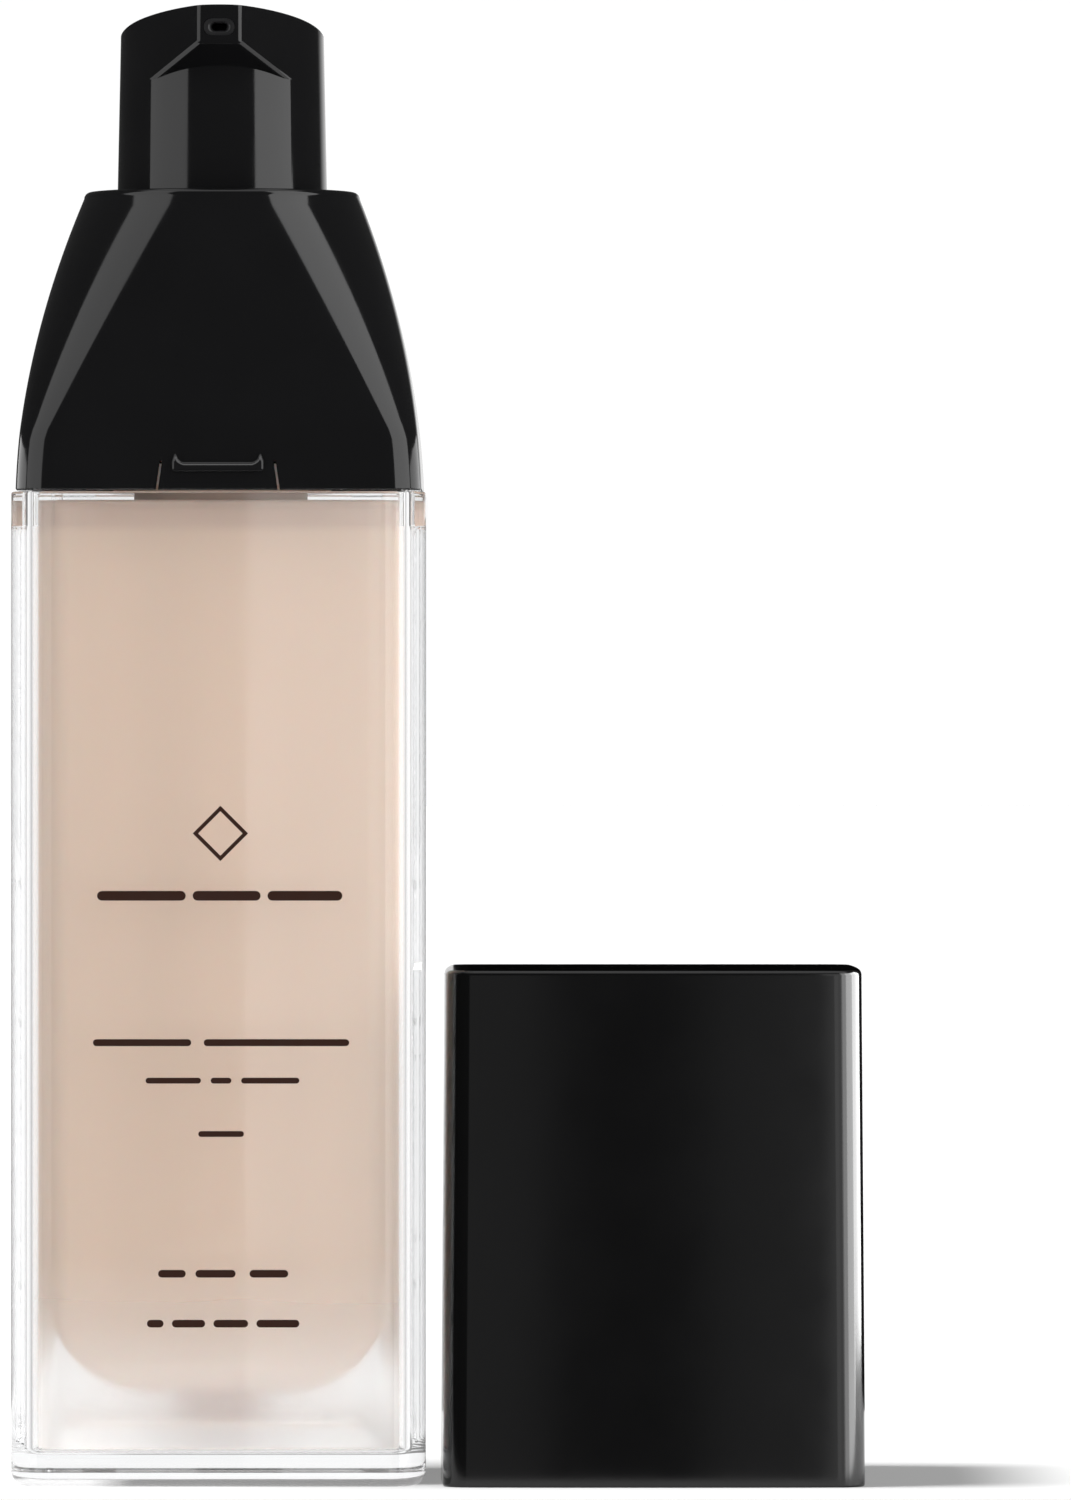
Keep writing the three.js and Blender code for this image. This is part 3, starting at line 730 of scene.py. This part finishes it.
def collar_mesh(s):
    crown, lip, eased_foot, eased_mouth = 0.5, 0.2, 0.12, 0.06
    top = s.collar_base + s.collar_height
    foot_half, foot_corner = collar_half(s, 0) - eased_foot, collar_corner(s, 0) - eased_foot
    levels = [square(s.collar_base, foot_half, foot_corner)]
    levels += collar_levels(s, 0, eased_foot, s.collar_height - crown, 30)
    z, half, corner = levels[-1]
    for i in range(1, 7):
        angle = i / 6 * QUARTER
        pulled = crown * (1 - math.cos(angle))
        levels.append(square(z + crown * math.sin(angle), half - pulled, corner - pulled))
    mouth = s.collar_mouth
    levels += [circle(top, mouth + lip), circle(top - eased_mouth, mouth + eased_mouth)]
    levels += [circle(top - lip, mouth), circle(top - s.collar_wall, mouth)]
    levels += reversed(collar_levels(s, s.collar_wall, 0, s.collar_height - s.collar_wall, 12))
    body = chain(levels, 16, looped=True)
    cutters = []
    for back in (False, True):
        for side in (-1, 1):
            cutters += slit_cutters(s, side, back)
    return carved(body, *[("DIFFERENCE", cutter) for cutter in cutters])


def ridge_mesh(s, back):
    """The ridge on the tongue, with a small flick up at each end."""
    half, low, high, tip = 3.34, 1.28, 2.05, 2.8
    depth, sunk = 0.85, 0.6
    flick, peak = half - 0.6, half - 0.25
    outline = [(-half, low), (half, low), (half, high), (peak, tip), (flick, high)]
    outline += [(-flick, high), (-peak, tip), (-half, high)]
    forward = at((0, sunk - collar_half(s, low), s.collar_base))
    return moved(prism(outline, depth), turned(back) @ forward @ UPRIGHT)


def grip_ring_mesh(s):
    """The ring inside the collar that snaps on to the closure."""
    low, high = s.collar_base + 2, 92.7
    levels = [circle(low, 9.75), circle(low, 10.5), circle(high, 10.0), circle(high, 9.6)]
    return chain(levels, looped=True)


# ---- head


def spout_wedge(s):
    """Flanks tangent to the head's side that meet the spout's face, over a slanted underside."""
    slope, tall = 0.58, 20
    distance = math.hypot(s.spout_half, s.spout_reach)
    angle = math.atan(s.spout_half / s.spout_reach) + math.acos(s.head_high / distance)
    x, y = s.head_high * math.sin(angle), -s.head_high * math.cos(angle)
    low = s.spout_low - slope * s.spout_reach
    face = -s.spout_reach
    plan = [(-s.spout_half, face), (s.spout_half, face), (x, y), (0, 0), (-x, y)]
    wedge = moved(prism(plan, tall), at((0, 0, low)))
    for vert in wedge.verts:
        if vert.co.z < low + 1:
            vert.co.z = s.spout_low - slope * (vert.co.y + s.spout_reach)
    return eased(wedge, 0.28, sharp=40)


def head_arch(s):
    """The arch that trims the head's top, wider and deeper than the head."""
    half, wide, deep, steps = s.head_high + 0.05, 12, 30, 64
    low, spring = s.head_foot - 1, s.head_spring - 0.01
    outline = [(-wide, low), (wide, low), (wide, spring)]
    for i in range(steps + 1):
        angle = i / steps * math.pi
        rise = s.head_arch * math.sin(angle)
        outline.append((half * math.cos(angle), s.head_spring + rise))
    outline.append((-wide, spring))
    return moved(prism(outline, deep), at((0, deep / 2, 0)) @ UPRIGHT)


def finger_scoop(s):
    """A wide cylinder lying across the head, which hollows its top."""
    radius, half_length, dip, behind = 18.0, 12, 0.8, 0.6
    cylinder = chain([circle(0, radius), circle(2 * half_length, radius)], 40)
    across = Matrix.Rotation(QUARTER, 4, "Y")
    centre = (-half_length, behind, s.head_spring + s.head_arch + radius - dip)
    return moved(cylinder, at(centre) @ across)


def orifice_slot(s, half_wide, half_tall, start, end):
    outline = pill(-half_wide, half_wide, -half_tall, half_tall)
    place = at((0, end, s.orifice_z))
    return moved(prism(outline, end - start), place @ UPRIGHT)


def head_mesh(s):
    over = s.head_spring + s.head_arch + 1
    column = [circle(s.head_foot, s.head_low), circle(s.head_spring, s.head_high)]
    column.append(circle(over, s.head_high))
    skirt, core, stem, duct = 6.7, 4.35, 1.85, 0.9
    core_low, stem_low, duct_low = 100.2, 102.3, 103.7
    bore = [circle(s.head_foot - 1, skirt), circle(core_low, skirt)]
    bore += [circle(core_low, core), circle(stem_low, core)]
    bore += [circle(stem_low, stem), circle(duct_low, stem)]
    bore += [circle(duct_low, duct), circle(s.orifice_z, duct)]
    face = -s.spout_reach
    trims = [("INTERSECT", head_arch(s)), ("DIFFERENCE", finger_scoop(s))]
    outside = carved(chain(column, 24), ("UNION", spout_wedge(s)), *trims)
    return carved(
        eased(outside, 0.22),
        ("DIFFERENCE", chain(bore)),
        ("DIFFERENCE", orifice_slot(s, 0.84, 0.4, face - 1, 0.5)),
        ("DIFFERENCE", orifice_slot(s, 1.15, 0.62, face - 1, face + 2)),
    )


def nozzle_mesh(s):
    """The rim round the orifice, with a rounded lip that stands just proud of the spout's face."""
    half_wide, half_tall, deep, thick = 0.56, 0.24, 1.9, 0.56
    lip = [(0, thick), (-0.03, 0.42), (-0.03, 0.25), (0.06, 0.12), (0.3, 0.0)]
    rings = []
    for back, grow in [*lip, (deep, 0.0), (deep, thick)]:
        wide, tall = half_wide + grow, half_tall + grow * 0.66
        y = back - s.spout_reach
        rings.append([(x, y, s.orifice_z + z) for x, z in pill(-wide, wide, -tall, tall)])
    return skinned(rings, looped=True)


# ---- spring and cap


def spring_mesh(s):
    wire, radius, turns, around = 0.25, 2.4, 7, 10
    low, high = s.spring_low + wire, s.spring_high - wire
    steps = turns * 28
    rings = []
    for i in range(steps + 1):
        angle = TAU * turns * i / steps
        outward = Vector((math.cos(angle), math.sin(angle), 0))
        centre = radius * outward + Vector((0, 0, low + (high - low) * i / steps))
        ring = []
        for turn in (TAU * k / around for k in range(around)):
            upward = Vector((0, 0, math.sin(turn)))
            ring.append(centre + wire * (math.cos(turn) * outward + upward))
        rings.append(ring)
    return skinned(rings)


def cap_mesh(s):
    bore = s.half - s.wall
    top_bore, top_half = bore - s.draft, s.half - s.draft
    bore_corner = s.corner - s.wall
    lead_in, foot_ease, roof_round = 0.1, 0.14, 0.4
    levels = rounding(s.tall - s.roof, top_bore, bore_corner, roof_round, 3, upper=True)
    levels.append(square(0.12, bore, bore_corner))
    levels.append(square(0, bore + lead_in, bore_corner + lead_in))
    levels += rounding(0, s.half, s.corner, foot_ease, 3)
    levels += reversed(rounding(s.tall, top_half, s.corner, s.edge, 6, upper=True))
    body = chain(levels, 10, 20, s.bulge)
    groove_half, groove_low, groove_high, reach = 3.84, 1.17, 2.17, bore + 0.3
    groove = block((-groove_half, -reach, groove_low), (groove_half, reach, groove_high))
    return moved(carved(body, ("DIFFERENCE", groove)), at((s.away, 0, 0)))


# ---- operators


class BOTTLE_OT_clear_bottles(bpy.types.Operator):
    """Build the clear shell and the inner bottle"""

    bl_idname = "bottle.clear_bottles"
    bl_label = "Clear Bottles"

    def execute(self, context):
        sizes = in_millimetres(context.scene.bottle_sizes)
        finish = finishes()
        for node, mesh, look in (
            ("outer_shell", shell_mesh(sizes), "Clear shell"),
            ("inner_bottle", inner_mesh(sizes), "Clear inner"),
        ):
            clear = piece(node + "_clear", mesh, "bottle", finish[look], [node])
            clear.visible_shadow = False
        return {"FINISHED"}


class BOTTLE_OT_liquid(bpy.types.Operator):
    """Fill the inner bottle with foundation"""

    bl_idname = "bottle.liquid"
    bl_label = "Foundation"

    def execute(self, context):
        sizes = in_millimetres(context.scene.bottle_sizes)
        fill = liquid_mesh(sizes)
        look = finishes()["Foundation"]
        piece("foundation_liquid", fill, "bottle", look, ["foundation_fill"])
        return {"FINISHED"}


class BOTTLE_OT_printing(bpy.types.Operator):
    """Print plain marks on the front of the shell"""

    bl_idname = "bottle.printing"
    bl_label = "Printed Marks"

    def execute(self, context):
        sizes = in_millimetres(context.scene.bottle_sizes)
        piece("printed_marks", print_mesh(sizes), "bottle", finishes()["Print"])
        return {"FINISHED"}


class BOTTLE_OT_collar(bpy.types.Operator):
    """Build the tapered collar and the ridges on its tongues"""

    bl_idname = "bottle.collar"
    bl_label = "Collar"

    def execute(self, context):
        sizes = in_millimetres(context.scene.pump_sizes)
        black = finishes()["Gloss black"]
        cover = collar_mesh(sizes)
        body = piece("collar_body", cover, "bottle", black, ["collar_cover"])
        ring = piece("collar_grip_ring", grip_ring_mesh(sizes), "bottle", black)
        for dark in (body, ring):
            dark.visible_transmission = False
        for side, back in (("front", False), ("back", True)):
            name = f"collar_ridge_{side}"
            piece(name, ridge_mesh(sizes, back), "bottle", black, bevel=0.3)
        return {"FINISHED"}


class BOTTLE_OT_head(bpy.types.Operator):
    """Build the pump head and the rim of its orifice"""

    bl_idname = "bottle.head"
    bl_label = "Pump Head"

    def execute(self, context):
        sizes = in_millimetres(context.scene.pump_sizes)
        finish = finishes()
        gloss, satin = finish["Gloss black"], finish["Satin black"]
        piece("head_body", head_mesh(sizes), "head", gloss, ["actuator"])
        nozzle = nozzle_mesh(sizes)
        piece("nozzle_rim", nozzle, "head", satin, ["nozzle_insert"])
        return {"FINISHED"}


class BOTTLE_OT_pump_works(bpy.types.Operator):
    """Wind the spring and give the hidden pump parts their finishes"""

    bl_idname = "bottle.pump_works"
    bl_label = "Pump Works"

    def execute(self, context):
        sizes = in_millimetres(context.scene.pump_sizes)
        finish = finishes()
        coil, steel = spring_mesh(sizes), finish["Drawn steel"]
        spring = piece("spring_coil", coil, "bottle", steel, ["return_spring"])
        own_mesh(spring)
        mouldings = "pump_closure pump_housing stem_guide dip_tube ball_cage pump_stem pump_piston"
        given = {
            "Natural plastic": ("natural_plastic", mouldings),
            "Soft seal": ("gasket", "neck_gasket stem_seal"),
            "Drawn steel": ("steel", "inlet_ball"),
            "Satin black": ("black_satin", "actuator_core"),
        }
        for look, (slot, names) in given.items():
            for name in names.split():
                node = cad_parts[name]
                node.data.materials.clear()
                node.data.materials.append(finish[look])
                node.data.shade_smooth()
                node.data.set_sharp_from_angle(angle=math.radians(35))
        return {"FINISHED"}


class BOTTLE_OT_cap(bpy.types.Operator):
    """Build the overcap that stands beside the bottle"""

    bl_idname = "bottle.cap"
    bl_label = "Overcap"

    def execute(self, context):
        sizes = in_millimetres(context.scene.cap_sizes)
        black = finishes()["Cap black"]
        mesh = cap_mesh(sizes)
        cap = piece("overcap_shell", mesh, "overcap", black, ["overcap"])
        cap.visible_transmission = False
        return {"FINISHED"}


def sheets(name, corners, nodes):
    """Rectangles for the stage, four corners each, which aren't seen through the clear plastic."""
    sheet = placed(name, bpy.data.meshes.new(name))
    faces = [tuple(range(first, first + 4)) for first in range(0, len(corners), 4)]
    sheet.data.from_pydata(corners, [], faces)
    sheet.data.materials.append(nodes.material)
    sheet.visible_transmission = False
    return sheet


def pale_floor(settings):
    nodes = Nodes("Studio floor")
    tone = settings.floor_tone
    cloud = nodes.ranged(nodes.noise(120, 3.0), 0, 1)
    shade = nodes.blended(cloud, (tone * 0.99,) * 3, (tone * 1.01,) * 3)
    nodes.link(shade, nodes.shader.inputs["Base Color"])
    nodes.set(Roughness=0.9, Specular_IOR_Level=0.0)
    nodes.set(Emission_Color=(1, 1, 1, 1), Emission_Strength=settings.floor_glow)
    side, front, back = 6, -0.03, 12
    corners = [(-side, front, 0), (side, front, 0), (side, back, 0), (-side, back, 0)]
    floor = sheets("studio_floor", corners, nodes)
    floor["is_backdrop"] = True
    return floor


def dark_card():
    """Black cards behind, seen in reflections alone: they darken the outlines of the cap and
    the shell. The gap between them is as wide as the bottle."""
    behind, top = 0.1, 0.072
    corners = []
    for near, far in ((-0.0163, -0.16), (0.0163, 0.18)):
        corners += [(near, behind, 0), (far, behind, 0), (far, behind, top), (near, behind, top)]
    nodes = Nodes("Dark card")
    nodes.set(Base_Color=(0, 0, 0, 1), Specular_IOR_Level=0.0)
    nodes.rough(40, 0.8, 0.9)
    card = sheets("dark_card", corners, nodes)
    for rays in ("camera", "diffuse", "shadow"):
        setattr(card, "visible_" + rays, False)
    card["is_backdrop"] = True


def studio_world():
    """White to the camera and even for matt surfaces. What is mirrored or seen through the
    clear plastic is bright behind and dark in front, and mirrors find a bright ceiling too."""
    world = bpy.data.worlds.new("Studio")
    bpy.context.scene.world = world
    world.use_nodes = True
    new, link = world.node_tree.nodes.new, world.node_tree.links.new
    world.node_tree.nodes.clear()

    def rising(value, start, end, darkest, brightest):
        """A smooth rise from darkest to brightest as the value goes from start to end."""
        rise = new("ShaderNodeMapRange")
        rise.interpolation_type = "SMOOTHSTEP"
        set_range(rise, start, end, darkest, brightest)
        link(value, rise.inputs["Value"])
        return rise.outputs["Result"]

    def choose(rays, others, these):
        """The tone `these` for one kind of ray, and the tone `others` for the rest."""
        mix = new("ShaderNodeMix")
        link(rays, mix.inputs["Factor"])
        link(others, mix.inputs[2])
        if isinstance(these, float):
            mix.inputs[3].default_value = these
        else:
            link(these, mix.inputs[3])
        return mix.outputs[0]

    direction = new("ShaderNodeTexCoord").outputs["Generated"]
    split = new("ShaderNodeSeparateXYZ")
    link(direction, split.inputs["Vector"])
    lean = new("ShaderNodeVectorMath")
    lean.operation = "DOT_PRODUCT"
    lean.inputs[1].default_value = (0.25, 1, -0.6)
    link(direction, lean.inputs[0])
    mirrored = new("ShaderNodeMath")
    mirrored.operation = "MAXIMUM"
    link(rising(lean.outputs["Value"], 0.88, 1.0, 0.05, 1.0), mirrored.inputs[0])
    link(rising(split.outputs["Z"], 0.8, 0.92, 0.0, 0.9), mirrored.inputs[1])
    seen_through = rising(split.outputs["Y"], -0.2, 0.7, 0.12, 1.0)
    rays = new("ShaderNodeLightPath")
    tone = choose(rays.outputs["Is Transmission Ray"], mirrored.outputs[0], seen_through)
    tone = choose(rays.outputs["Is Diffuse Ray"], tone, 1.15)
    tone = choose(rays.outputs["Is Camera Ray"], tone, 1.02)
    background = new("ShaderNodeBackground")
    background.inputs["Color"].default_value = (1, 1, 1, 1)
    link(tone, background.inputs["Strength"])
    output = new("ShaderNodeOutputWorld")
    link(background.outputs["Background"], output.inputs["Surface"])


def softbox(name, azimuth, distance, wide, tall, height, radiance, shift=0.0):
    """A panel of light that faces the bottle from an azimuth: 0 is the front and 90 the right.
    The shift moves it sideways, along X."""
    angle = math.radians(azimuth)
    light = bpy.data.lights.new(name, "AREA")
    light.shape = "RECTANGLE"
    light.size = wide
    light.size_y = tall
    light.energy = 4 * wide * tall * radiance
    lamp = placed(name, light)
    away = Vector((math.sin(angle), -math.cos(angle), 0))
    lamp.location = away * distance + Vector((shift, 0, height))
    lamp.rotation_mode = "QUATERNION"
    lamp.rotation_quaternion = away.to_track_quat("Z", "Y")
    lamp.visible_camera = False
    lamp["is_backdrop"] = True
    return lamp


def light_only(lamp, pieces, unshaded=False):
    """Keeps a light off everything but these pieces. If unshaded, only they can shade them."""
    lit = bpy.data.collections.new("Lit by " + lamp.name)
    for lit_piece in pieces:
        lit.objects.link(lit_piece)
    lamp.light_linking.receiver_collection = lit
    if unshaded:
        lamp.light_linking.blocker_collection = lit


def cap_lights(settings):
    """Strips that light the cap alone: a glow along its right edge and faint sheens in front."""
    tall, height, shift = 0.5, 0.06, 0.03
    strips = [
        # name, azimuth, distance, width, share of the cap's light
        ("cap_haze", 20, 0.3, 0.12, 0.09),
        ("cap_glow", 42, 0.3, 0.11, 0.22),
        ("cap_side", 66, 0.3, 0.15, 0.6),
        ("cap_rim", 106, 0.3, 0.29, 1.2),
        ("cap_sheen_left", -11, 1.1, 0.32, 0.018),
        ("cap_sheen_right", 10.5, 1.1, 0.32, 0.016),
    ]
    for name, azimuth, distance, wide, share in strips:
        radiance = share * settings.cap_rim
        strip = softbox(name, azimuth, distance, wide, tall, height, radiance, shift)
        light_only(strip, [bpy.data.objects["overcap_shell"]])


def bottle_lights(settings):
    """Panels that light one kind of piece each."""
    shell, inner, fill = "outer_shell_clear", "inner_bottle_clear", "foundation_liquid"
    panels = [
        # name, pieces, azimuth, distance, width, tallness, centre's height, radiance, shift
        ("collar_edge_left", "collar_body", -118, 0.5, 0.5, 0.2, 0.05, settings.collar_edge),
        ("collar_edge_right", "collar_body", 118, 0.5, 0.5, 0.2, 0.05, settings.collar_edge),
        ("ridge_light", "collar_ridge", 0, 0.4, 0.5, 0.3, 0.3, settings.ridge_light),
        ("base_glow", inner, 180, 0.4, 0.5, 0.3, 0.05, settings.base_glow),
        ("liquid_light", fill, 20, 0.8, 0.6, 0.6, 0.2, settings.liquid_light),
        ("liquid_under", fill, 0, 0, 0.3, 0.3, -0.25, settings.liquid_under),
        ("shell_sheen", shell, 0, 1.02, 0.3, 0.5, 0.1, settings.shell_sheen, 0.131),
    ]
    for name, lit, *placing in panels:
        panel = softbox(name, *placing)
        lit_pieces = [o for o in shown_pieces() if o.name.startswith(lit)]
        light_only(panel, lit_pieces, unshaded=lit == fill)
        if name == "liquid_under":
            panel.rotation_quaternion = Vector((0, 0, -1)).to_track_quat("Z", "Y")


def floor_key(settings, floor):
    """A wide sun from the upper left for the floor alone, so pieces shade only the floor."""
    light = bpy.data.lights.new("Floor key", "SUN")
    light.energy = settings.floor_key
    light.angle = math.radians(16)
    lamp = placed("floor_key", light)
    elevation = math.radians(71.5)
    source = Vector((-math.cos(elevation), -0.04, math.sin(elevation)))
    lamp.rotation_mode = "QUATERNION"
    lamp.rotation_quaternion = source.to_track_quat("Z", "Y")
    light_only(lamp, [floor])
    lamp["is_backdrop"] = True


def camera(settings):
    lens = bpy.data.cameras.new("Camera")
    lens.lens = settings.lens
    lens.sensor_width = 36
    lens.clip_start = 0.05
    lens.clip_end = 50
    eye = placed("Camera", lens)
    eye.location = (settings.camera_side, -settings.camera_back, settings.camera_height)
    eye.rotation_euler = (QUARTER, 0, 0)
    bpy.context.scene.camera = eye


class BOTTLE_OT_stage(bpy.types.Operator):
    """Set up the pale floor, the studio light and the camera"""

    bl_idname = "bottle.stage"
    bl_label = "Stage"

    def execute(self, context):
        settings = context.scene.stage_settings
        floor = pale_floor(settings)
        dark_card()
        studio_world()
        azimuth, distance, wide, tall, height = 63, 0.6, 0.57, 1.3, 0.5
        left = softbox("softbox_left", -azimuth, distance, wide, tall, height, settings.left_box)
        light_only(left, [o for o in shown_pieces() if o.name != "overcap_shell"])
        softbox("softbox_right", azimuth, distance, wide, tall, height, settings.right_box)
        cap_lights(settings)
        bottle_lights(settings)
        floor_key(settings, floor)
        camera(settings)
        # Light bounces many times inside the thick clear walls.
        cycles, view = context.scene.cycles, context.scene.view_settings
        cycles.max_bounces = 40
        cycles.glossy_bounces = 32
        cycles.transmission_bounces = 24
        view.view_transform = "Standard"
        view.look = "None"
        return {"FINISHED"}


STEPS = (
    BOTTLE_OT_clear_bottles,
    BOTTLE_OT_liquid,
    BOTTLE_OT_printing,
    BOTTLE_OT_collar,
    BOTTLE_OT_head,
    BOTTLE_OT_pump_works,
    BOTTLE_OT_cap,
    BOTTLE_OT_stage,
)


class BOTTLE_PT_panel(bpy.types.Panel):
    """Lists the bottle's sizes, finishes and build steps"""

    bl_idname = "BOTTLE_PT_panel"
    bl_label = "Foundation Bottle"
    bl_space_type = "VIEW_3D"
    bl_region_type = "UI"
    bl_category = "Bottle"

    def draw(self, context):
        for group_name in GROUPS:
            group = getattr(context.scene, group_name)
            box = self.layout.box()
            box.label(text=type(group).__doc__)
            for name in type(group).__annotations__:
                box.prop(group, name)
        for operator in STEPS:
            self.layout.operator(operator.bl_idname)


GROUPS = {
    "bottle_sizes": BottleSizes,
    "pump_sizes": PumpSizes,
    "cap_sizes": CapSizes,
    "bottle_finish": BottleFinish,
    "stage_settings": StageSettings,
}


def register():
    for name, group in GROUPS.items():
        bpy.utils.register_class(group)
        setattr(bpy.types.Scene, name, PointerProperty(type=group))
    for operator in STEPS:
        bpy.utils.register_class(operator)
    bpy.utils.register_class(BOTTLE_PT_panel)


def unregister():
    bpy.utils.unregister_class(BOTTLE_PT_panel)
    for operator in reversed(STEPS):
        bpy.utils.unregister_class(operator)
    for name, group in GROUPS.items():
        delattr(bpy.types.Scene, name)
        bpy.utils.unregister_class(group)


def main():
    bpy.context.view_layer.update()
    register()
    for operator in STEPS:
        group, name = operator.bl_idname.split(".")
        getattr(getattr(bpy.ops, group), name)()


if __name__ == "__main__":
    main()
